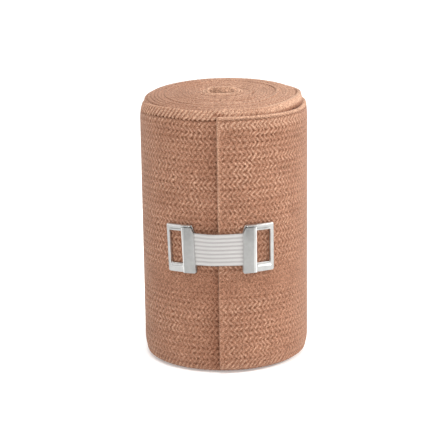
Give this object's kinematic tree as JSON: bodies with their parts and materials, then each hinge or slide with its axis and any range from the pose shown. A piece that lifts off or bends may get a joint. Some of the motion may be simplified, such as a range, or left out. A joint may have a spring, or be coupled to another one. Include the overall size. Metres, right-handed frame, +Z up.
{
  "type": "crepe bandage roll",
  "caption": "Elastic crepe bandage wound into an upright roll, its loose end held by a metal clip with an elastic middle.",
  "frame": {"origin": "on the ground, under the middle of the whole object's box; the roll's own axis is 0.4 mm towards -X and 1.2 mm towards +Y of it", "axes": "+Z up along the roll's axis; -Y towards the front, where the loose end and the clip are; +X to the right as seen from the front"},
  "size_m": [0.0606, 0.0628, 0.0991],
  "materials": {
    "crepe_cloth": "matt tan elastic crepe, woven in a fine herringbone",
    "clip_metal": "stamped sheet, satin",
    "clip_elastic": "white ribbed elastic"
  },
  "bodies": {
    "root": {"bandage_roll": "crepe_cloth", "clip_end_left": "clip_metal", "clip_end_right": "clip_metal", "clip_elastic": "clip_elastic"}
  },
  "joints": []
}
